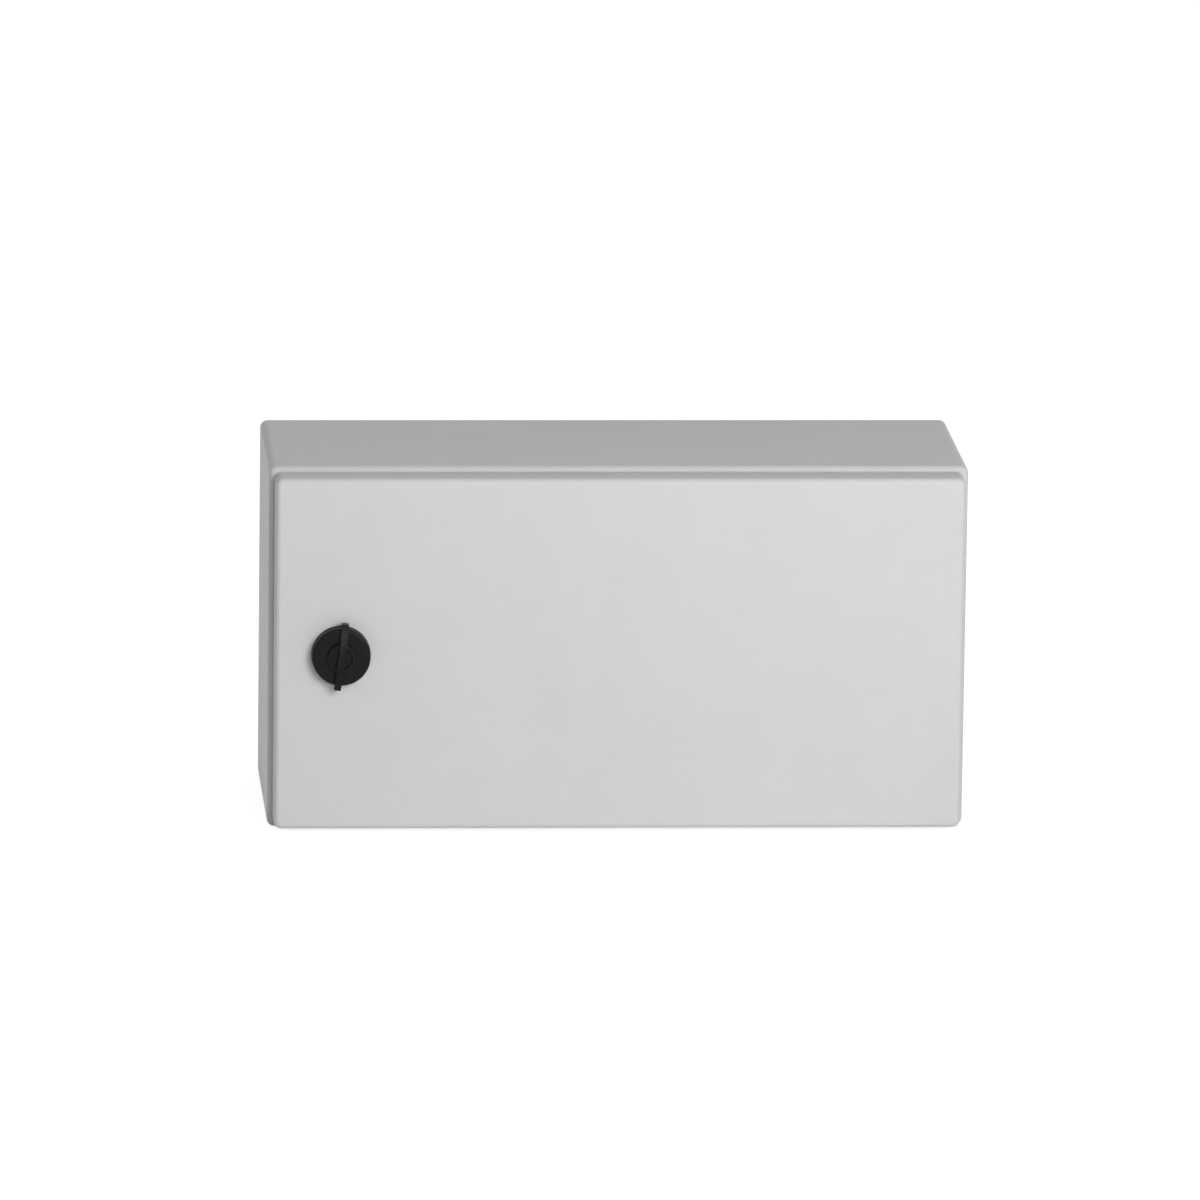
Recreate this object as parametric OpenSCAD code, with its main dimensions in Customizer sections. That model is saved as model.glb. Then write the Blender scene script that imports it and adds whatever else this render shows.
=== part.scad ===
// Small steel wall enclosure: a folded cabinet with a rain lip, a hinged door with a foamed seal,
// a quarter-turn wing lock, a mounting plate on weld studs and a gland plate in the base.
// Frame: X to the right and Z up as seen from the front, the front faces -Y,
// and the origin is the centre of the back face, on the wall.

/* [Cabinet] */
// Width of the cabinet
body_w = 380; // [320:5:600]
// Height of the cabinet
body_h = 200; // [180:5:500]
// Depth from the wall to the front of the cabinet's folded frame
body_d = 135; // [120:5:260]
// Thickness of the cabinet and door sheet
sheet_t = 1.5; // [1.2:0.1:2]
// Inside radius of every fold
fold_r = 1.5; // [1:0.25:2.5]
// How much larger the welded corners are rounded than the folds
corner_extra = 1; // [0.5:0.5:4]
// Width of the folded frame, from the cabinet's side to the lip
land_w = 18; // [18:0.5:26]
// Height of the rain lip in front of the folded frame
lip_h = 10.2; // [8:0.2:12]
// Corner radius of the lip, on its outer face
lip_corner_r = 8; // [7:0.5:14]

/* [Wall fixing] */
// Diameter of the four wall holes
wall_hole_d = 9; // [7:0.5:11]
// Distance of each wall hole from the cabinet's side
wall_hole_side = 25; // [20:0.5:30]
// Distance of each wall hole from the top or the base
wall_hole_end = 25; // [18:0.5:40]

/* [Door] */
// Step from the cabinet's outline in to the door's edge
door_reveal = 3; // [2:0.5:4]
// Distance from the folded frame to the front of the door
door_proud = 20; // [19:0.5:22]
// Gap between the door's folded edge and the frame behind it
door_back_gap = 2; // [1.5:0.25:3]

/* [Door seal] */
// Width of the foamed seal
seal_w = 11; // [8:0.5:12]
// Height of the seal's rounded crown
seal_crown = 2.5; // [1.5:0.5:3.5]
// Gap between the seal and the lip's edge
seal_gap = 0.3; // [0.2:0.1:0.6]

/* [Hinges] */
// Distance of each hinge's middle from the top or the base
hinge_end = 40; // [38:1:60]
// Height of a hinge over its three knuckles
hinge_h = 36; // [24:1:50]
// Distance of the hinge axis inside the door's edge
hinge_side = 3.5; // [3.4:0.1:3.9]
// Distance of the hinge axis in front of the folded frame
hinge_stand = 11; // [10.8:0.1:12]
// Diameter of the hinge pins
pin_d = 4; // [3:0.2:4]
// Thickness of the hinge leaves
leaf_t = 1.2; // [1:0.1:1.3]
// Width of the foot that welds a bracket to the frame
bracket_foot_w = 7.5; // [5:0.5:7.5]
// Width of the foot that welds a leaf to the door
leaf_foot_w = 6; // [5:0.5:6.5]
// Gap between two knuckles
knuckle_gap = 0.3; // [0.1:0.1:1]
// Thickness of a pin's head
pin_head_h = 1.6; // [1:0.2:2]
// Height of door edge left in front of a hinge
notch_keep = 4; // [3.5:0.25:4.5]
// Room in the door edge past each end of a hinge and its pin's head
notch_end_gap = 1; // [0.5:0.25:3]

/* [Lock] */
// Distance of the lock's axis from the cabinet's left side
lock_side = 38.7; // [36:0.1:60]
// Diameter of the threaded barrel
barrel_d = 20; // [18:0.5:21]
// Width of the barrel across its two flats
barrel_flats = 18; // [17:0.5:18]
// Diameter of the fixed flange on the door
flange_d = 32.2; // [30:0.1:38]
// Thickness of the fixed flange
flange_t = 3; // [2.5:0.25:4]
// Diameter of the seal ring's section across its flat
lock_seal_w = 2.2; // [1.5:0.1:3]
// Thickness of the seal ring
lock_seal_t = 1; // [0.6:0.1:1.2]
// Height of the lock nut
lock_nut_h = 5; // [4:0.5:7]
// Width of the lock nut across its flats
lock_nut_across = 24; // [23:0.5:26]
// Diameter of the turning spindle
spindle_d = 12; // [11.5:0.25:13]
// Width of the spindle's two square ends
spindle_square = 8; // [7.5:0.25:8.1]
// Width of the spindle's collar, from its shaft to its edge
collar_w = 2.5; // [1.5:0.25:3]
// Thickness of the spindle's collar
collar_t = 2; // [1:0.25:2]

/* [Wing knob] */
// Diameter of the knob's disc
knob_d = 31.7; // [28:0.1:36]
// Thickness of the knob's disc
knob_disc_t = 4.4; // [3.5:0.1:6]
// Diameter of the hub in the middle of the knob
hub_d = 15.4; // [14:0.1:18]
// Height of the hub above the disc
hub_h = 3; // [2:0.25:5]
// Wall of the hub around its dished middle
hub_wall = 1.7; // [1.2:0.1:3]
// Depth of the hub's dish
dish_depth = 1.6; // [0.5:0.1:2.5]
// Length of the wing from tip to tip
wing_l = 36.7; // [32:0.1:44]
// Thickness of the wing
wing_t = 3.6; // [3:0.1:5]
// Height of the wing above the disc at the middle
wing_h = 4.8; // [4:0.1:8]
// Angle of the resting wing, clockwise from upright
wing_rest = 6.7; // [0:0.1:20]

/* [Cam] */
// Reach of the cam from the lock's axis
cam_reach = 31; // [26:0.5:33]
// Width of the cam
cam_w = 16; // [14:0.5:18]
// Thickness of the cam
cam_t = 3; // [2:0.25:4]
// Gap between the cam and the frame that it closes behind
cam_gap = 0.8; // [0.5:0.1:2]
// Diameter of the cam's screw
cam_screw_d = 6; // [5:0.5:6]
// Length of the cam's screw under its head
cam_screw_l = 11; // [8:0.5:14]
// Thickness of the cam's washer
cam_washer_t = 1.2; // [0.8:0.1:2]

/* [Mounting plate] */
// Distance of the plate's edge from the cabinet's side
plate_side = 35; // [33:0.5:60]
// Distance of the plate's edge from the top or the base
plate_end = 25; // [22:0.5:40]
// Thickness of the mounting plate
plate_t = 2; // [1.5:0.25:3]
// Distance that the stud collars hold the plate off the back
plate_stand = 10; // [6:0.5:20]
// Distance of each stud from the plate's two edges
stud_inset = 12; // [10:0.5:20]
// Diameter of the plate's studs
plate_stud_d = 6; // [5:0.5:8]
// Radius of the plate's corners
plate_corner_r = 3; // [1:0.5:8]
// Length of thread that stands out past a nut
thread_past_nut = 2; // [1:0.5:4]

/* [Gland plate] */
// Width of the cable opening in the base
gland_open_w = 240; // [160:5:280]
// Depth of the cable opening in the base
gland_open_d = 70; // [50:1:80]
// Distance from the wall to the middle of the cable opening
gland_from_wall = 64; // [62:1:66]
// Width of the plate's rim around the opening
gland_rim = 11; // [10:0.5:12]
// Thickness of the gland plate
gland_plate_t = 1.5; // [1:0.25:3]
// Thickness of the seal under the gland plate
gland_seal_t = 2; // [1:0.25:3]
// Diameter of the gland plate's studs
gland_stud_d = 5; // [4:0.5:5]
// Corner radius of the cable opening, its seal and its plate
gland_corner_r = 5; // [2:0.5:8]
// Step from the opening and from the plate's edge to the seal between them
gland_seal_inset = 1; // [0.5:0.25:1.5]

/* [Earthing] */
// Diameter of the earth studs on the back and on the door
earth_stud_d = 6; // [5:0.5:8]
// Length of the earth studs
earth_stud_l = 15; // [13:0.5:16]
// Distance of the back's earth stud from the left side
earth_side = 25; // [20:0.5:26]
// Distance of the back's earth stud from the base
earth_end = 55; // [45:1:80]
// Distance of the door's earth stud from the right side
door_earth_side = 40; // [36:1:70]
// Distance of the door's earth stud from the base
door_earth_end = 38; // [36:1:60]

/* [Clearances] */
// Radial clearance of threads, of the hinge pins and of the lock's spindle
running_gap = 0.05; // [0.02:0.01:0.1]
// Clearance of parts that drop into a hole or a socket
drop_gap = 0.1; // [0.05:0.05:0.3]
// Radial clearance of the fixing holes over their studs
stud_hole_gap = 0.3; // [0.2:0.1:0.6]

/* [Hidden] */
$fn = 64;
// How far a cutting shape stands out past the face that it cuts
past = 1;

fold_out = fold_r + sheet_t;
corner_r = fold_out + corner_extra;
front_y = -body_d;

lip_w = body_w - 2 * land_w;
lip_tall = body_h - 2 * land_w;

door_w = body_w - 2 * door_reveal;
door_h = body_h - 2 * door_reveal;
door_front = body_d + door_proud;
door_inside = door_front - sheet_t;
door_back = body_d + door_back_gap;

seal_mid_inset = land_w + sheet_t / 2;
seal_path_w = body_w - 2 * seal_mid_inset + seal_w;
seal_path_h = body_h - 2 * seal_mid_inset + seal_w;
seal_corner_r = lip_corner_r + (seal_w - sheet_t) / 2;
seal_h = door_proud - sheet_t - lip_h - seal_gap;
seal_crown_r = (pow(seal_w / 2, 2) + pow(seal_crown, 2)) / (2 * seal_crown);

hinge_x = door_w / 2 - hinge_side;
hinge_y = front_y - hinge_stand;
hinge_z = body_h / 2 - hinge_end;
pin_r = pin_d / 2;
knuckle_r = pin_r + running_gap + leaf_t;
knuckle_h = (hinge_h - 2 * knuckle_gap) / 3;
knuckle_step = knuckle_h + knuckle_gap;
leaf_reach = door_proud - sheet_t - hinge_stand;
notch_h = hinge_h + 2 * (pin_head_h + notch_end_gap);

lock_x = lock_side - body_w / 2;
flange_front = door_front + flange_t;
cam_front = body_d - sheet_t - cam_gap;
cam_back = cam_front - cam_t;
barrel_back = cam_front + drop_gap;
barrel_r = barrel_d / 2;
lock_seal_r = barrel_r + 1;
collar_r = spindle_d / 2 + collar_w;
knob_back = flange_front + 3 * drop_gap;
knob_round = 1.5;
socket_depth = knob_disc_t;
wing_tip_h = 0.4;
wing_rise = wing_h - wing_tip_h;
wing_arc_r = (pow(wing_l / 2, 2) + pow(wing_rise, 2)) / (2 * wing_rise);
dish_d = hub_d - 2 * hub_wall;

plate_w = body_w - 2 * plate_side;
plate_h = body_h - 2 * plate_end;
plate_back = sheet_t + plate_stand;
plate_front = plate_back + plate_t;
stud_x = plate_w / 2 - stud_inset;
stud_z = plate_h / 2 - stud_inset;

gland_y = -gland_from_wall;
gland_plate_w = gland_open_w + 2 * gland_rim;
gland_plate_d = gland_open_d + 2 * gland_rim;
gland_base = sheet_t - body_h / 2;
gland_seat = gland_base + gland_seal_t;
gland_top = gland_seat + gland_plate_t;
gland_stud_x = (gland_open_w + gland_rim) / 2;
gland_stud_y = (gland_open_d + gland_rim) / 2;

// Sizes of the standard hexagon nuts and washers for a thread of diameter d
function nut_across(d) = lookup(d, [[4, 7], [5, 8], [6, 10], [8, 13]]);
function nut_height(d) = 0.8 * d;
function washer_r(d) = d;
function washer_t(d) = lookup(d, [[4, 0.8], [5, 1], [6, 1.6], [8, 1.6]]);

// Lays a shape that is drawn flat, with its height as distance from the wall, against the wall
module facing() {
    rotate([90, 0, 0]) children();
}

// Places its children on the lock's axis, in the drawing plane of facing()
module on_lock() {
    facing() translate([lock_x, 0, 0]) children();
}

// Places its children on the turning parts of the lock, in their rest position
module on_turned_lock() {
    on_lock() rotate([0, 0, -wing_rest]) children();
}

module round_rect(w, h, r) {
    square([w - 2 * r, h], center = true);
    square([w, h - 2 * r], center = true);
    for (x = [-1, 1], y = [-1, 1])
        translate([x * (w / 2 - r), y * (h / 2 - r)]) circle(r);
}

// The quarter of a ring that lies above and to the right of its centre
module quarter_ring(inner, outer) {
    intersection() {
        difference() {
            circle(outer);
            circle(inner);
        }
        square(outer);
    }
}

// Sweeps a section round a rounded rectangle: x in the section runs outwards from the
// corner's centre, and y runs away from the wall
module swept_rim(w, h, r) {
    for (side = [0:3]) {
        reach = (side % 2 == 0 ? w : h) / 2 - r;
        run = (side % 2 == 0 ? h : w) - 2 * r;
        rotate([0, 0, 90 * side]) translate([reach, 0, 0]) rotate([90, 0, 0])
            linear_extrude(run, center = true) children();
        rotate([0, 0, 90 * side]) translate([reach, run / 2, 0])
            rotate_extrude(angle = 90) children();
    }
}

// Section of a fold that joins a wall to a sheet whose outer face is at the height top
module fold_section(r, top) {
    translate([r - fold_out, top - fold_out]) quarter_ring(fold_r, fold_out);
    translate([0, top - sheet_t]) square([r - fold_out, sheet_t]);
}

// Section of the cabinet's wall, folded inwards at the back and at the front
module cabinet_section() {
    translate([corner_r - sheet_t, fold_out]) square([sheet_t, body_d - 2 * fold_out]);
    fold_section(corner_r, body_d);
    translate([0, body_d]) mirror([0, 1]) fold_section(corner_r, body_d);
}

// Section of the rain lip, folded forward out of the frame
module lip_section() {
    translate([lip_corner_r + fold_r, body_d + fold_r]) rotate(180)
        quarter_ring(fold_r, fold_out);
    translate([lip_corner_r - sheet_t, body_d + fold_r]) square([sheet_t, lip_h - fold_r]);
}

module hex_nut(d, across, h) {
    across_corners_r = across / 2 / cos(30);
    chamfer = across_corners_r - across / 2;
    difference() {
        intersection() {
            cylinder(h = h, r = across_corners_r, $fn = 6);
            rotate_extrude() polygon([
                [0, 0], [across / 2, 0], [across_corners_r, chamfer / 2],
                [across_corners_r, h - chamfer / 2], [across / 2, h], [0, h]
            ]);
        }
        translate([0, 0, -past]) cylinder(h = h + 2 * past, d = d + 2 * running_gap);
    }
}

module washer(d, h) {
    difference() {
        cylinder(h = h, r = washer_r(d));
        translate([0, 0, -past]) cylinder(h = h + 2 * past, d = d + 2 * running_gap);
    }
}

// A threaded stud with a lead-in chamfer at its free end
module stud(d, l) {
    chamfer = d / 8;
    cylinder(h = l - chamfer, d = d);
    translate([0, 0, l - chamfer]) cylinder(h = chamfer, r1 = d / 2, r2 = d / 2 - chamfer);
}

module at_plate_studs() {
    facing() for (x = [-1, 1], z = [-1, 1]) translate([x * stud_x, z * stud_z, 0]) children();
}

module at_gland_studs() {
    for (x = [-1, 0, 1], y = [-1, 1])
        translate([x * gland_stud_x, gland_y + y * gland_stud_y, 0]) children();
}

module at_back_earth() {
    facing() translate([earth_side - body_w / 2, earth_end - body_h / 2, 0]) children();
}

module at_door_earth() {
    facing() translate([body_w / 2 - door_earth_side, door_earth_end - body_h / 2, door_inside])
        mirror([0, 0, 1]) children();
}

// Cabinet of one folded sheet, without its base and its front frame
module body_shell() {
    color("gainsboro") difference() {
        facing() union() {
            swept_rim(body_w, body_h, corner_r) cabinet_section();
            linear_extrude(sheet_t)
                square([body_w - 2 * corner_r, body_h - 2 * corner_r], center = true);
        }
        facing() for (x = [-1, 1], z = [-1, 1])
            translate([x * (body_w / 2 - wall_hole_side), z * (body_h / 2 - wall_hole_end), -past])
                cylinder(h = sheet_t + 2 * past, d = wall_hole_d);
        translate([corner_r - body_w / 2, fold_out - body_d, -body_h / 2 - past])
            cube([body_w - 2 * corner_r, body_d - 2 * fold_out, sheet_t + 2 * past]);
    }
}

// Flat base between the folds, with the cable opening
module base_panel() {
    color("gainsboro") translate([0, 0, -body_h / 2]) linear_extrude(sheet_t) difference() {
        translate([corner_r - body_w / 2, fold_out - body_d])
            square([body_w - 2 * corner_r, body_d - 2 * fold_out]);
        translate([0, gland_y]) round_rect(gland_open_w, gland_open_d, gland_corner_r);
    }
}

// Frame round the door opening, with the rain lip folded forward out of it
module front_frame() {
    color("gainsboro") facing() {
        translate([0, 0, body_d - sheet_t]) linear_extrude(sheet_t) difference() {
            square([body_w - 2 * corner_r, body_h - 2 * corner_r], center = true);
            round_rect(lip_w + 2 * fold_r, lip_tall + 2 * fold_r, lip_corner_r + fold_r);
        }
        swept_rim(lip_w, lip_tall, lip_corner_r) lip_section();
    }
}

module plate_studs() {
    color("silver") at_plate_studs() {
        translate([0, 0, sheet_t]) cylinder(h = plate_stand, d = 2 * plate_stud_d);
        translate([0, 0, plate_back]) stud(plate_stud_d,
            plate_t + washer_t(plate_stud_d) + nut_height(plate_stud_d) + thread_past_nut);
    }
}

module mounting_plate() {
    color("lightgray") facing() translate([0, 0, plate_back]) linear_extrude(plate_t) difference() {
        round_rect(plate_w, plate_h, plate_corner_r);
        for (x = [-1, 1], z = [-1, 1])
            translate([x * stud_x, z * stud_z]) circle(d = plate_stud_d + 2 * stud_hole_gap);
    }
}

module plate_washers() {
    color("silver") at_plate_studs() translate([0, 0, plate_front])
        washer(plate_stud_d, washer_t(plate_stud_d));
}

module plate_nuts() {
    color("silver") at_plate_studs() translate([0, 0, plate_front + washer_t(plate_stud_d)])
        hex_nut(plate_stud_d, nut_across(plate_stud_d), nut_height(plate_stud_d));
}

module gland_studs() {
    color("silver") at_gland_studs() translate([0, 0, gland_base]) stud(gland_stud_d,
        gland_seal_t + gland_plate_t + nut_height(gland_stud_d) + thread_past_nut);
}

module gland_seal() {
    color("dimgray") difference() {
        translate([0, gland_y, gland_base]) linear_extrude(gland_seal_t) difference() {
            round_rect(gland_plate_w - 2 * gland_seal_inset, gland_plate_d - 2 * gland_seal_inset,
                gland_corner_r);
            round_rect(gland_open_w + 2 * gland_seal_inset, gland_open_d + 2 * gland_seal_inset,
                gland_corner_r);
        }
        at_gland_studs() translate([0, 0, gland_base - past])
            cylinder(h = gland_seal_t + 2 * past, d = gland_stud_d + 2 * stud_hole_gap);
    }
}

module gland_plate() {
    color("gainsboro") difference() {
        translate([0, gland_y, gland_seat]) linear_extrude(gland_plate_t)
            round_rect(gland_plate_w, gland_plate_d, gland_corner_r);
        at_gland_studs() translate([0, 0, gland_seat - past])
            cylinder(h = gland_plate_t + 2 * past, d = gland_stud_d + 2 * stud_hole_gap);
    }
}

module gland_nuts() {
    color("silver") at_gland_studs() translate([0, 0, gland_top])
        hex_nut(gland_stud_d, nut_across(gland_stud_d), nut_height(gland_stud_d));
}

module back_earth_stud() {
    color("goldenrod") at_back_earth() translate([0, 0, sheet_t]) stud(earth_stud_d, earth_stud_l);
}

module back_earth_washer() {
    color("silver") at_back_earth() translate([0, 0, sheet_t])
        washer(earth_stud_d, washer_t(earth_stud_d));
}

module back_earth_nut() {
    color("silver") at_back_earth() translate([0, 0, sheet_t + washer_t(earth_stud_d)])
        hex_nut(earth_stud_d, nut_across(earth_stud_d), nut_height(earth_stud_d));
}

module knuckle() {
    cylinder(h = knuckle_h, r = knuckle_r, center = true);
}

module pin_bore() {
    cylinder(h = hinge_h + 2 * past, r = pin_r + running_gap, center = true);
}

// Hinge half on the cabinet: the middle knuckle, its web and the foot welded to the frame
module hinge_bracket(z) {
    color("silver") translate([hinge_x, hinge_y, z]) difference() {
        union() {
            knuckle();
            translate([-knuckle_r, 0, -knuckle_h / 2]) cube([leaf_t, hinge_stand, knuckle_h]);
            translate([leaf_t - knuckle_r - bracket_foot_w, hinge_stand - leaf_t, -hinge_h / 2])
                cube([bracket_foot_w, leaf_t, hinge_h]);
        }
        pin_bore();
    }
}

// Hinge half on the door: the outer knuckles, their webs and the foot welded inside the door
module hinge_leaf(z) {
    color("silver") translate([hinge_x, hinge_y, z]) difference() {
        union() {
            for (end = [-1, 1]) translate([0, 0, end * knuckle_step]) {
                knuckle();
                translate([-knuckle_r, -leaf_reach, -knuckle_h / 2])
                    cube([leaf_t, leaf_reach, knuckle_h]);
            }
            translate([-leaf_foot_w, -leaf_reach, -hinge_h / 2])
                cube([leaf_foot_w, leaf_t, hinge_h]);
        }
        pin_bore();
    }
}

// Headed hinge pin: the head rests on the top knuckle
module hinge_pin(z) {
    head_r = knuckle_r;
    color("silver") translate([hinge_x, hinge_y, z]) {
        cylinder(h = hinge_h, r = pin_r, center = true);
        translate([0, 0, hinge_h / 2]) rotate_extrude() intersection() {
            square([head_r, pin_head_h]);
            translate([0, pin_head_h - 2 * head_r]) circle(2 * head_r);
        }
    }
}

module door_panel() {
    color("gainsboro") difference() {
        facing() union() {
            swept_rim(door_w, door_h, corner_r) {
                translate([corner_r - sheet_t, door_back])
                    square([sheet_t, door_front - fold_out - door_back]);
                fold_section(corner_r, door_front);
            }
            translate([0, 0, door_inside]) linear_extrude(sheet_t)
                square([door_w - 2 * corner_r, door_h - 2 * corner_r], center = true);
        }
        for (z = [-1, 1])
            translate([door_w / 2 - fold_out, notch_keep - door_front, z * hinge_z - notch_h / 2])
                cube([fold_out + past, door_front - notch_keep - door_back + past, notch_h]);
        on_lock() translate([0, 0, door_inside - past]) linear_extrude(sheet_t + 2 * past)
            barrel_outline(drop_gap);
    }
}

module door_seal() {
    color("dimgray") facing() translate([0, 0, door_inside]) mirror([0, 0, 1])
        swept_rim(seal_path_w, seal_path_h, seal_corner_r)
            translate([seal_corner_r - seal_w, 0]) intersection() {
                square([seal_w, seal_h]);
                translate([seal_w / 2, seal_h - seal_crown_r]) circle(seal_crown_r);
            }
}

module door_earth_stud() {
    color("goldenrod") at_door_earth() stud(earth_stud_d, earth_stud_l);
}

module door_earth_washer() {
    color("silver") at_door_earth() washer(earth_stud_d, washer_t(earth_stud_d));
}

module door_earth_nut() {
    color("silver") at_door_earth() translate([0, 0, washer_t(earth_stud_d)])
        hex_nut(earth_stud_d, nut_across(earth_stud_d), nut_height(earth_stud_d));
}

// Round barrel with a flat on each side, enlarged all round by gap
module barrel_outline(gap) {
    intersection() {
        circle(barrel_r + gap);
        square([barrel_flats + 2 * gap, barrel_d + 4 * gap], center = true);
    }
}

// Solid of revolution with its top edge rounded
module rounded_disc(r, h, edge) {
    rotate_extrude() {
        square([r - edge, h]);
        square([r, h - edge]);
        translate([r - edge, h - edge]) intersection() {
            circle(edge);
            square(edge);
        }
    }
}

module lock_housing() {
    color("dimgray") on_lock() difference() {
        union() {
            translate([0, 0, door_front]) rounded_disc(flange_d / 2, flange_t, 1);
            translate([0, 0, barrel_back]) linear_extrude(door_front - barrel_back)
                barrel_outline(0);
        }
        translate([0, 0, door_front - past]) difference() {
            cylinder(h = lock_seal_t + past, r = lock_seal_r + lock_seal_w + drop_gap);
            cylinder(h = lock_seal_t + past, r = lock_seal_r - drop_gap);
        }
        translate([0, 0, barrel_back - past])
            cylinder(h = flange_front - barrel_back + 2 * past, r = spindle_d / 2 + running_gap);
        translate([0, 0, flange_front - collar_t])
            cylinder(h = collar_t + past, r = collar_r + drop_gap);
    }
}

module lock_seal() {
    color("dimgray") on_lock() translate([0, 0, door_front]) difference() {
        cylinder(h = lock_seal_t, r = lock_seal_r + lock_seal_w);
        translate([0, 0, -past]) cylinder(h = lock_seal_t + 2 * past, r = lock_seal_r);
    }
}

module lock_nut() {
    color("silver") on_lock() translate([0, 0, door_inside - lock_nut_h]) rotate([0, 0, 30])
        hex_nut(barrel_d, lock_nut_across, lock_nut_h);
}

// Turning knob: a disc, a dished hub and a wing whose back is arched from tip to tip
module wing_knob() {
    disc_top = knob_back + knob_disc_t;
    color("dimgray") on_turned_lock() difference() {
        union() {
            translate([0, 0, knob_back]) rounded_disc(knob_d / 2, knob_disc_t, knob_round);
            difference() {
                translate([0, 0, knob_back]) rounded_disc(hub_d / 2, knob_disc_t + hub_h, 1);
                translate([0, 0, disc_top + hub_h - dish_depth])
                    cylinder(h = dish_depth + past, d = dish_d);
            }
            intersection() {
                translate([-wing_t / 2, -wing_l / 2, knob_back])
                    cube([wing_t, wing_l, knob_disc_t + wing_h]);
                translate([0, 0, disc_top + wing_h - wing_arc_r]) rotate([0, 90, 0])
                    cylinder(h = wing_t + 2 * past, r = wing_arc_r, center = true);
            }
        }
        translate([0, 0, knob_back - past]) linear_extrude(socket_depth + past)
            square(spindle_square + 2 * drop_gap, center = true);
    }
}

module lock_spindle() {
    color("silver") on_turned_lock() difference() {
        union() {
            translate([0, 0, cam_front])
                cylinder(h = flange_front - collar_t - cam_front + drop_gap, d = spindle_d);
            translate([0, 0, flange_front - collar_t + drop_gap]) cylinder(h = collar_t, r = collar_r);
            translate([0, 0, cam_back + drop_gap])
                linear_extrude(knob_back + socket_depth - cam_back - 2 * drop_gap)
                    square(spindle_square, center = true);
        }
        translate([0, 0, cam_back]) cylinder(h = cam_screw_l + 2, d = cam_screw_d + 2 * running_gap);
    }
}

module lock_cam() {
    tip_r = 4;
    color("silver") on_turned_lock() translate([0, 0, cam_back]) linear_extrude(cam_t) difference() {
        union() {
            circle(d = cam_w + 2);
            translate([0, -cam_reach / 2]) round_rect(cam_w - 2, cam_reach, tip_r);
        }
        square(spindle_square + 2 * drop_gap, center = true);
    }
}

module cam_washer() {
    color("silver") on_turned_lock() translate([0, 0, cam_back - cam_washer_t])
        washer(cam_screw_d, cam_washer_t);
}

module cam_screw() {
    head_h = 0.7 * cam_screw_d;
    color("silver") on_turned_lock() translate([0, 0, cam_back - cam_washer_t]) {
        cylinder(h = cam_screw_l, d = cam_screw_d);
        mirror([0, 0, 1]) cylinder(h = head_h, d = nut_across(cam_screw_d) / cos(30), $fn = 6);
    }
}

body_shell();
base_panel();
front_frame();
plate_studs();
mounting_plate();
plate_washers();
plate_nuts();
gland_studs();
gland_seal();
gland_plate();
gland_nuts();
back_earth_stud();
back_earth_washer();
back_earth_nut();
hinge_bracket(hinge_z);  // hinge_bracket_upper
hinge_bracket(-hinge_z);  // hinge_bracket_lower
door_panel();
door_seal();
hinge_leaf(hinge_z);  // hinge_leaf_upper
hinge_leaf(-hinge_z);  // hinge_leaf_lower
hinge_pin(hinge_z);  // hinge_pin_upper
hinge_pin(-hinge_z);  // hinge_pin_lower
door_earth_stud();
door_earth_washer();
door_earth_nut();
lock_housing();
lock_seal();
lock_nut();
wing_knob();
lock_spindle();
lock_cam();
cam_washer();
cam_screw();
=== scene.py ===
import bmesh
import bpy
from math import cos, pi, radians, sin
from mathutils import Matrix, Vector


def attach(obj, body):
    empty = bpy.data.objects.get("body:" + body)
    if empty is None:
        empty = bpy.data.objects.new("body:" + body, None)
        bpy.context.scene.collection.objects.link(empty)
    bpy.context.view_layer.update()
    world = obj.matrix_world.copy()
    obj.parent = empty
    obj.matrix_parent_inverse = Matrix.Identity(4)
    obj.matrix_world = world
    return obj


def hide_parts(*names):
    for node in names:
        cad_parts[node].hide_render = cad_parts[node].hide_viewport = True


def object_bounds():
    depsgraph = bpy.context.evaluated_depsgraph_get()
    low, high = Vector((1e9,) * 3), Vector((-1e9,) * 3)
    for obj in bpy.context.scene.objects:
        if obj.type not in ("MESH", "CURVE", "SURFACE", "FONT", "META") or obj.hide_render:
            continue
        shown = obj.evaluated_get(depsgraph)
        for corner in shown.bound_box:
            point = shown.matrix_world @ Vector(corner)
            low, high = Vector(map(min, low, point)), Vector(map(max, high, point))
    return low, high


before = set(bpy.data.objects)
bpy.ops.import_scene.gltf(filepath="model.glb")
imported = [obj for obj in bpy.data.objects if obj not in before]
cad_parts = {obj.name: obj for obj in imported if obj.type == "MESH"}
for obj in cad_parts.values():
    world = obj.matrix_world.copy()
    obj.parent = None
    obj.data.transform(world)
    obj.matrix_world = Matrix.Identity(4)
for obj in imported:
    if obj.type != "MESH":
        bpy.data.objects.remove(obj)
cad_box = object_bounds()

# Camera: a long lens a little to the left of the box and above it, level with its front,
# so that the top and a thin strip of the left side show. It leans by a fraction of a degree.
heading = radians(3.8765)
dip = radians(11.713)
lean = radians(0.727)
ahead = Vector((sin(heading) * cos(dip), cos(heading) * cos(dip), -sin(dip)))
level = Vector((cos(heading), -sin(heading), 0))
upright = level.cross(ahead)
right = level * cos(lean) + upright * sin(lean)
above = upright * cos(lean) - level * sin(lean)
lens = bpy.data.cameras.new("camera")
lens.sensor_width = 36
lens.lens = 362.5
lens.clip_end = 100
camera = bpy.data.objects.new("camera", lens)
stand = Matrix((right, above, -ahead)).transposed().to_4x4()
stand.translation = (-0.4443, -6.5474, 1.3584)
camera.matrix_world = stand
bpy.context.scene.collection.objects.link(camera)
bpy.context.scene.camera = camera
bpy.context.scene.view_settings.view_transform = "Standard"


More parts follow.
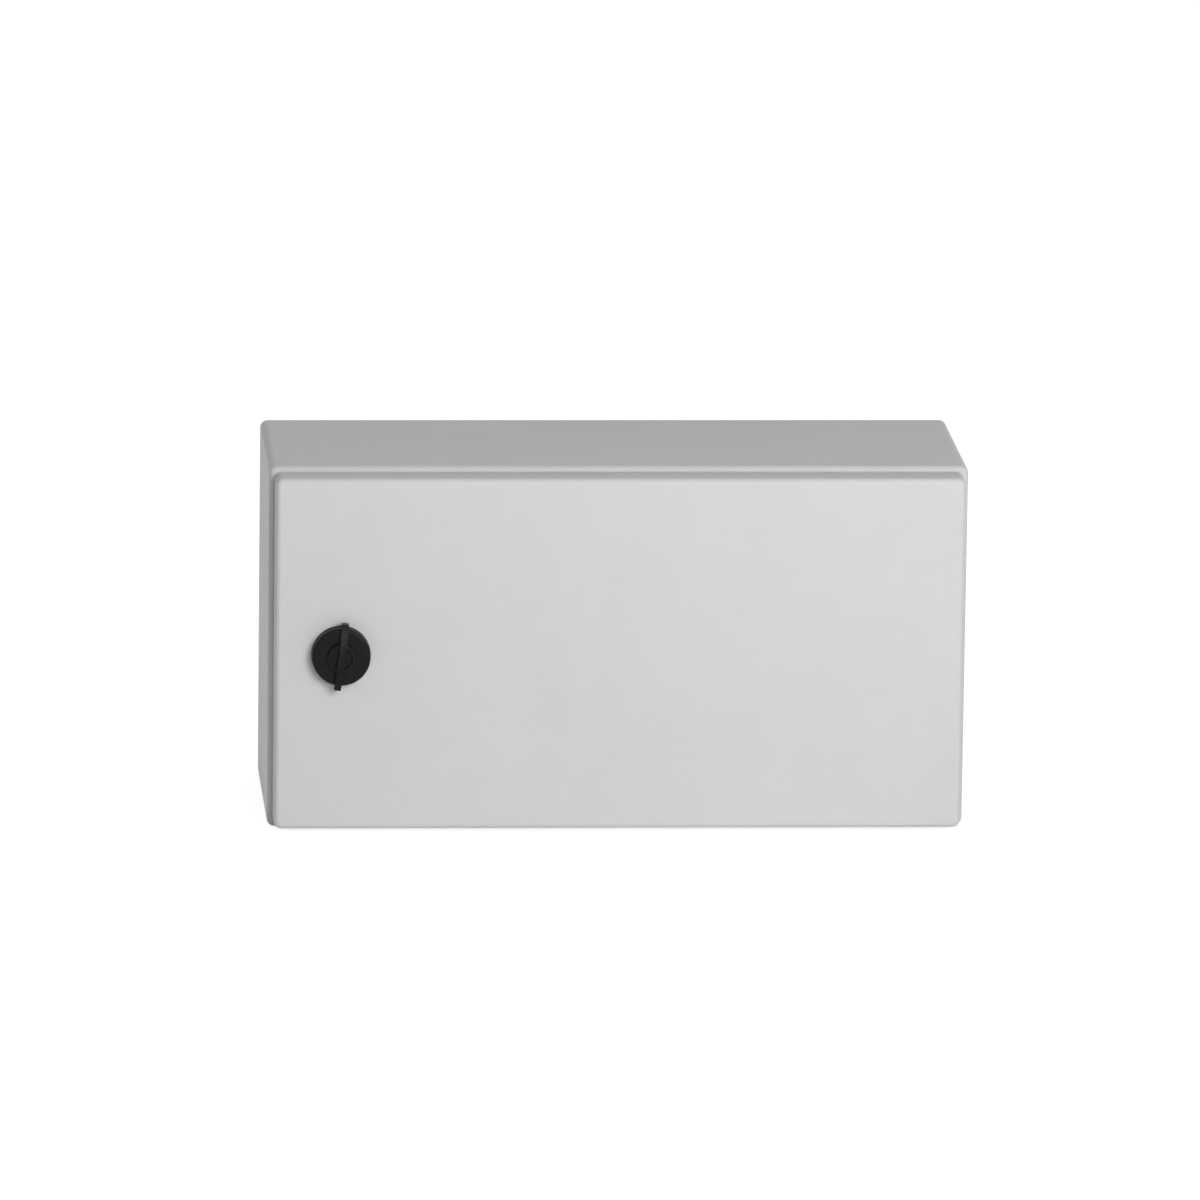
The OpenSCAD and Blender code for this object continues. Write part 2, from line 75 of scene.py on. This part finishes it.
# Floor: one wide pale sheet under the box. Straight views of it are lifted to white,
# so that only the soft shadow of the box is left on it, and nothing is seen from below.
class Wire:
    """A value in a shader, which can be used in sums."""

    def __init__(self, tree, socket=None):
        self.tree = tree
        self.socket = socket

    def node(self, kind, settings=None, sockets=None, out=0):
        made = self.tree.nodes.new(kind)
        for name, value in (settings or {}).items():
            setattr(made, name, value)
        for name, value in (sockets or {}).items():
            if isinstance(value, Wire):
                self.tree.links.new(value.socket, made.inputs[name])
            else:
                made.inputs[name].default_value = value
        return Wire(self.tree, made.outputs[out] if made.outputs else None)

    def maths(self, operation, first, second):
        return self.node("ShaderNodeMath", {"operation": operation}, {0: first, 1: second})

    def mix(self, first, second):
        """first where this value is 0, second where it is 1."""
        sockets = {0: self, 6: first, 7: second}
        return self.node("ShaderNodeMix", {"data_type": "RGBA"}, sockets, out=2)

    def __add__(self, other):
        return self.maths("ADD", self, other)

    def __sub__(self, other):
        return self.maths("SUBTRACT", self, other)

    def __rsub__(self, other):
        return self.maths("SUBTRACT", other, self)

    def __mul__(self, other):
        return self.maths("MULTIPLY", self, other)

    __radd__ = __add__
    __rmul__ = __mul__


floor_mesh = bpy.data.meshes.new("floor")
floor_shape = bmesh.new()
bmesh.ops.create_circle(floor_shape, cap_ends=True, segments=96, radius=30)
bmesh.ops.translate(floor_shape, verts=floor_shape.verts, vec=(0, 0, cad_box[0][2]))
floor_shape.to_mesh(floor_mesh)
floor_shape.free()
floor = bpy.data.objects.new("floor", floor_mesh)
bpy.context.scene.collection.objects.link(floor)

floor_paint = bpy.data.materials.new("floor_paint")
floor_paint.use_nodes = True
floor_paint.node_tree.nodes.clear()
start = Wire(floor_paint.node_tree)
rays = "ShaderNodeLightPath"
seen = start.node(rays, out="Is Camera Ray") + start.node(rays, out="Is Glossy Ray")
seen = seen + start.node(rays, out="Is Transmission Ray")
matt = start.node("ShaderNodeBsdfDiffuse", {}, {"Color": (0.9, 0.9, 0.9, 1)})
white = (1, 1, 1, 1)
lift = start.node("ShaderNodeEmission", {}, {"Color": white, "Strength": seen * 0.76})
pale = start.node("ShaderNodeAddShader", {}, {0: matt, 1: lift})
under = start.node("ShaderNodeNewGeometry", out="Backfacing")
clear = start.node("ShaderNodeBsdfTransparent")
sheet = start.node("ShaderNodeMixShader", {}, {0: under, 1: pale, 2: clear})
start.node("ShaderNodeOutputMaterial", {}, {"Surface": sheet})
floor.data.materials.append(floor_paint)

# Studio light: an even grey room that looks white where it is seen straight or in a gloss,
# a wide soft lamp in front, up and to the right, and a weaker one behind for the back.
room = bpy.data.worlds.new("room")
room.use_nodes = True
room.node_tree.nodes.clear()
start = Wire(room.node_tree)
seen = start.node(rays, out="Is Camera Ray") + start.node(rays, out="Is Glossy Ray")
seen = seen + start.node(rays, out="Is Transmission Ray")
air = start.node("ShaderNodeBackground", {}, {"Color": white, "Strength": seen * 0.72 + 0.28})
start.node("ShaderNodeOutputWorld", {}, {"Surface": air})
bpy.context.scene.world = room


def lamp(name, place, size, power):
    light = bpy.data.lights.new(name, "AREA")
    light.shape = "DISK"
    light.size = size
    light.energy = power
    made = bpy.data.objects.new(name, light)
    made.location = place
    made.rotation_euler = Vector(place).to_track_quat("Z", "Y").to_euler()
    made.visible_camera = False
    made.visible_glossy = place[1] < 0
    bpy.context.scene.collection.objects.link(made)


lamp("front_lamp", (0.42, -1.55, 0.54), 0.9, 14.6)
lamp("back_lamp", (0.9, 2.6, 0.35), 1.4, 18)


# Painted sheet: the folded cabinet, its base, its front frame, the gland plate and the door.
# 1.5 mm steel under a light grey powder coat, which dries with a fine grain and a faint
# orange peel, a touch uneven in tone over a hand's breadth.
def finish(name):
    """A new material and the start of its nodes."""
    made = bpy.data.materials.new(name)
    made.use_nodes = True
    made.node_tree.nodes.clear()
    return made, Wire(made.node_tree)


def noise(spot, scale, detail=2.0, roughness=0.5):
    sockets = {"Vector": spot, "Scale": scale, "Detail": detail, "Roughness": roughness}
    return spot.node("ShaderNodeTexNoise", {}, sockets)


def relief(height, strength, distance):
    sockets = {"Height": height, "Strength": strength, "Distance": distance}
    return height.node("ShaderNodeBump", {}, sockets)


def surface(start, sockets):
    shader = start.node("ShaderNodeBsdfPrincipled", {}, sockets)
    start.node("ShaderNodeOutputMaterial", {}, {"Surface": shader})


def wear(material, *names):
    for name in names:
        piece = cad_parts[name]
        piece.data.materials.clear()
        piece.data.materials.append(material)


powder_coat, start = finish("powder_coat")
spot = start.node("ShaderNodeTexCoord", out="Object")
grain = noise(spot, 1100, 3, 0.6)
peel = noise(spot, 260, 2)
cloud = noise(spot, 14, 4, 0.6)
patch = noise(spot, 55, 3)
tone = (cloud - 0.5) * 0.5 + (patch - 0.5) * 0.3 + (grain - 0.5) * 0.25 + 0.5
surface(start, {
    "Base Color": tone.mix((0.625, 0.630, 0.617, 1), (0.705, 0.710, 0.697, 1)),
    "Roughness": 0.5 + (patch - 0.5) * 0.12,
    "Specular IOR Level": 0.35,
    "Normal": relief(grain * 0.6 + peel * 0.4, 0.25, 0.0004),
})
wear(powder_coat, "body_shell", "base_panel", "front_frame", "gland_plate", "door_panel")

# Mounting plate: 2 mm sheet, zinc plated, with the faint lines of the rolling mill
# across it and the cloudy bloom of the plating bath.
zinc_sheet, start = finish("zinc_sheet")
spot = start.node("ShaderNodeTexCoord", out="Object")
stretch = {"Vector": spot, "Scale": (1.0, 1.0, 40.0)}
along = start.node("ShaderNodeMapping", {}, stretch)
lines = noise(along, 35, 4, 0.6)
bloom = noise(spot, 30, 5, 0.65)
surface(start, {
    "Base Color": bloom.mix((0.50, 0.52, 0.55, 1), (0.66, 0.67, 0.69, 1)),
    "Metallic": 1.0,
    "Roughness": 0.36 + (bloom - 0.5) * 0.3 + (lines - 0.5) * 0.12,
    "Normal": relief(lines, 0.12, 0.0002),
})
wear(zinc_sheet, "mounting_plate")

# Nuts, washers, screw, cam and hinge parts: pressed or turned from steel and zinc plated,
# bright, with fine tool marks and a slightly duller bloom in places.
zinc_bright, start = finish("zinc_bright")
spot = start.node("ShaderNodeTexCoord", out="Object")
marks = noise(spot, 1600, 3, 0.6)
bloom = noise(spot, 220, 3)
surface(start, {
    "Base Color": bloom.mix((0.56, 0.57, 0.59, 1), (0.72, 0.72, 0.73, 1)),
    "Metallic": 1.0,
    "Roughness": 0.26 + (bloom - 0.5) * 0.25 + (marks - 0.5) * 0.1,
    "Normal": relief(marks, 0.1, 0.0001),
})
wear(zinc_bright, "plate_washers", "plate_nuts", "gland_nuts")
wear(zinc_bright, "back_earth_washer", "back_earth_nut", "door_earth_washer", "door_earth_nut")
wear(zinc_bright, "hinge_bracket_upper", "hinge_bracket_lower")
wear(zinc_bright, "hinge_leaf_upper", "hinge_leaf_lower", "hinge_pin_upper", "hinge_pin_lower")
wear(zinc_bright, "lock_nut", "lock_cam", "cam_washer", "cam_screw")

# Weld studs: copper plated steel with a rolled thread, welded to the sheet by their foot.
# Those of the mounting plate have a thick collar that holds the plate off the back.
copper, start = finish("copper")
spot = start.node("ShaderNodeTexCoord", out="Object")
bloom = noise(spot, 300, 3)
surface(start, {
    "Base Color": bloom.mix((0.50, 0.25, 0.15, 1), (0.78, 0.46, 0.31, 1)),
    "Metallic": 1.0,
    "Roughness": 0.34 + (bloom - 0.5) * 0.3,
})


def piece_from(shape, name, material, body):
    """The finished mesh as a piece that stands for the CAD node of its name."""
    bmesh.ops.recalc_face_normals(shape, faces=shape.faces)
    mesh = bpy.data.meshes.new(name)
    shape.to_mesh(mesh)
    shape.free()
    mesh.materials.append(material)
    piece = bpy.data.objects.new(name + "_piece", mesh)
    bpy.context.scene.collection.objects.link(piece)
    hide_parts(name)
    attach(piece, body)
    return piece


def add_stud(shape, foot, way, thread, length, collar=()):
    """A stud from its foot along way: rings of points whose radius follows the thread."""
    radius, pitch = thread
    rows = list(collar)
    below = rows[-1][0] if rows else 0.0
    rings_per_turn = 6
    sides = 24
    thread_depth = 0.61 * pitch
    tip_taper = 0.6 * pitch
    steps = round((length - below) / pitch * rings_per_turn)
    for step in range(steps + 1):
        place = below + (length - below) * step / steps
        runout = min(1, max(0, place - below - pitch) / pitch)
        tip = min(1, (length - place) / pitch)
        rows.append((place, radius - tip_taper * (1 - tip), thread_depth * runout * tip))
    turn = Vector(way).to_track_quat("Z", "Y")
    last = None
    for place, size, depth in rows:
        ring = []
        for side in range(sides):
            angle = 2 * pi * side / sides
            phase = (place / pitch - side / sides) % 1
            out = size - depth * abs(2 * phase - 1)
            point = Vector((out * cos(angle), out * sin(angle), place))
            ring.append(shape.verts.new(Vector(foot) + turn @ point))
        if last:
            for side in range(sides):
                corners = (last[side - 1], last[side], ring[side], ring[side - 1])
                shape.faces.new(corners).smooth = depth > 0
        else:
            shape.faces.new(ring[::-1])
        last = ring
    shape.faces.new(last)


m6 = (0.003, 0.001)
m5 = (0.0025, 0.0008)
back_inside = -0.0015
base_inside = -0.0985
door_inside = -0.1535

collar_radius = 0.006
collar_length = 0.01
foot_edge = 0.0001
top_edge = 0.0004
collar = (
    (0, collar_radius - foot_edge, 0),
    (foot_edge, collar_radius, 0),
    (collar_length - top_edge, collar_radius, 0),
    (collar_length, collar_radius - top_edge, 0),
)
plate_stud_length = 0.0204
shape = bmesh.new()
for x in (-0.143, 0.143):
    for z in (-0.063, 0.063):
        add_stud(shape, (x, back_inside, z), (0, -1, 0), m6, plate_stud_length, collar)
piece_from(shape, "plate_studs", copper, "cabinet")

gland_stud_length = 0.0095
gland_stud_places = [(x, y) for x in (-0.1255, 0, 0.1255) for y in (-0.1045, -0.0235)]
shape = bmesh.new()
for x, y in gland_stud_places:
    add_stud(shape, (x, y, base_inside), (0, 0, 1), m5, gland_stud_length)
piece_from(shape, "gland_studs", copper, "cabinet")

earth_stud_length = 0.015
shape = bmesh.new()
add_stud(shape, (-0.165, back_inside, -0.045), (0, -1, 0), m6, earth_stud_length)
piece_from(shape, "back_earth_stud", copper, "cabinet")

shape = bmesh.new()
add_stud(shape, (0.15, door_inside, -0.062), (0, 1, 0), m6, earth_stud_length)
piece_from(shape, "door_earth_stud", copper, "door")

# Lock spindle: die-cast zinc, dull grey, with the fine skin of the mould.
die_cast, start = finish("die_cast")
spot = start.node("ShaderNodeTexCoord", out="Object")
skin = noise(spot, 900, 3)
surface(start, {
    "Base Color": skin.mix((0.44, 0.45, 0.47, 1), (0.56, 0.57, 0.59, 1)),
    "Metallic": 1.0,
    "Roughness": 0.42 + (skin - 0.5) * 0.2,
    "Normal": relief(skin, 0.15, 0.0002),
})
wear(die_cast, "lock_spindle")

# Lock housing and wing knob: black glass-filled polyamide, moulded with a fine spark grain.
polyamide, start = finish("black_polyamide")
spot = start.node("ShaderNodeTexCoord", out="Object")
spark = noise(spot, 2600, 3, 0.6)
haze = noise(spot, 160, 3)
surface(start, {
    "Base Color": haze.mix((0.003, 0.003, 0.003, 1), (0.007, 0.007, 0.007, 1)),
    "Roughness": 0.34 + (haze - 0.5) * 0.2 + (spark - 0.5) * 0.1,
    "Specular IOR Level": 0.12,
    "Normal": relief(spark, 0.2, 0.0001),
})
wear(polyamide, "lock_housing", "wing_knob")

# Seals: soft grey-black polyurethane foam, closed by a matt skin with small bubbles.
foam, start = finish("foam")
spot = start.node("ShaderNodeTexCoord", out="Object")
cells = start.node("ShaderNodeTexVoronoi", {}, {"Vector": spot, "Scale": 900})
waves = noise(spot, 90, 3)
surface(start, {
    "Base Color": waves.mix((0.030, 0.030, 0.032, 1), (0.055, 0.055, 0.058, 1)),
    "Roughness": 0.85 + (waves - 0.5) * 0.1,
    "Normal": relief(cells * 0.6 + waves * 0.4, 0.4, 0.0004),
})


def rounded(width, height, corner, straight=1, turn=8):
    """Points round a rectangle with round corners, each with the way that is outward."""
    points = []
    for quarter in range(4):
        middle_x = (width / 2 - corner) * (1, -1, -1, 1)[quarter]
        middle_z = (height / 2 - corner) * (1, 1, -1, -1)[quarter]
        for step in range(turn + 1):
            angle = pi / 2 * (quarter + step / turn)
            out = cos(angle), sin(angle)
            points.append((middle_x + corner * out[0], middle_z + corner * out[1], out))
        span = (height if quarter % 2 == 1 else width) - 2 * corner
        x, z, out = points[-1]
        for step in range(1, straight):
            run = span * step / straight
            points.append((x - out[1] * run, z + out[0] * run, out))
    return points


def add_ring(shape, rings):
    """Joins closed rings of as many points each, the last one to the first."""
    made = [[shape.verts.new(point) for point in ring] for ring in rings]
    for number, ring in enumerate(made):
        last = made[number - 1]
        for side in range(len(ring)):
            corners = (last[side - 1], last[side], ring[side], ring[side - 1])
            shape.faces.new(corners).smooth = True


# Door seal: a bead that a nozzle lays in one round inside the door, so its crown is a little
# uneven and dips where the bead meets its own start.
bead_width = 0.011
bead_height = 0.008
dip_place = 20
seal_width = 0.3535
seal_height = 0.1735
seal_corner = 0.01275
middle_corner = seal_corner - bead_width / 2
shape = bmesh.new()
rings = []
path = rounded(seal_width - bead_width, seal_height - bead_width, middle_corner, 40, 10)
for number, (x, z, out) in enumerate(path):
    turn = 2 * pi * number / len(path)
    uneven = 0.5 * sin(7 * turn + 1) + 0.3 * sin(17 * turn) + 0.2 * sin(41 * turn + 2)
    start_dip = 0.06 * max(0, 1 - abs(number - dip_place) / 2)
    rise = bead_height * (0.98 + 0.02 * uneven - start_dip)
    ring = []
    for step in range(17):
        angle = pi * step / 16
        side = bead_width / 2 * abs(cos(angle)) ** 0.6 * (1 if step < 8 else -1)
        up = rise * abs(sin(angle)) ** 0.55
        ring.append((x + out[0] * side, door_inside + up, z + out[1] * side))
    rings.append(ring)
add_ring(shape, rings)
seal = piece_from(shape, "door_seal", foam, "door")

# Gland seal: a frame stamped from 2 mm foam, with holes for the studs, pressed a little
# so that its cut edges bulge.
gland_y = -0.064
gland_outer = (0.26, 0.09)
gland_inner = (0.242, 0.072)
gland_corner = 0.005
stud_hole_radius = 0.0028
seal_thick = 0.002
layers = ((0, 0.0004), (0.0003, 0.0001), (0.001, 0), (0.0017, 0.0001), (seal_thick, 0.0004))
shape = bmesh.new()
outlines = []
for rise, inset in layers:
    z = base_inside + rise
    around = rounded(*(size - 2 * inset for size in gland_outer), gland_corner - inset)
    within = rounded(*(size + 2 * inset for size in gland_inner), gland_corner + inset)
    outer = [(x, y + gland_y, z) for x, y, out in around]
    inner = [(x, y + gland_y, z) for x, y, out in within]
    holes = []
    for x, y in gland_stud_places:
        reach = stud_hole_radius + inset
        angles = [2 * pi * step / 24 for step in range(24)]
        holes.append([(x + reach * cos(angle), y + reach * sin(angle), z) for angle in angles])
    outlines.append([outer, inner, *holes])
for loops in zip(*outlines):
    made = [[shape.verts.new(point) for point in loop] for loop in loops]
    for last, ring in zip(made, made[1:]):
        for side in range(len(ring)):
            corners = (last[side - 1], last[side], ring[side], ring[side - 1])
            shape.faces.new(corners).smooth = True
for z in (base_inside, base_inside + seal_thick):
    level = {vert for vert in shape.verts if abs(vert.co.z - z) < 1e-7}
    rim = [edge for edge in shape.edges if level.issuperset(edge.verts)]
    bmesh.ops.triangle_fill(shape, use_beauty=True, edges=rim)
seal = piece_from(shape, "gland_seal", foam, "cabinet")

# Lock seal: a thin foam ring in a groove of the lock's flange, against the door.
lock_x = -0.1513
door_front = -0.155
ring_radius = 0.0121
ring_width = 0.0022
ring_thick = 0.001
ring_edge = 0.0003
shape = bmesh.new()
rings = []
for step in range(96):
    angle = 2 * pi * step / 96
    ring = []
    for side, up, out in rounded(ring_width, ring_thick, ring_edge, 1, 4):
        reach = ring_radius + side
        place_y = door_front - ring_thick / 2 + up
        ring.append((lock_x + reach * cos(angle), place_y, reach * sin(angle)))
    rings.append(ring)
add_ring(shape, rings)
piece_from(shape, "lock_seal", foam, "door")
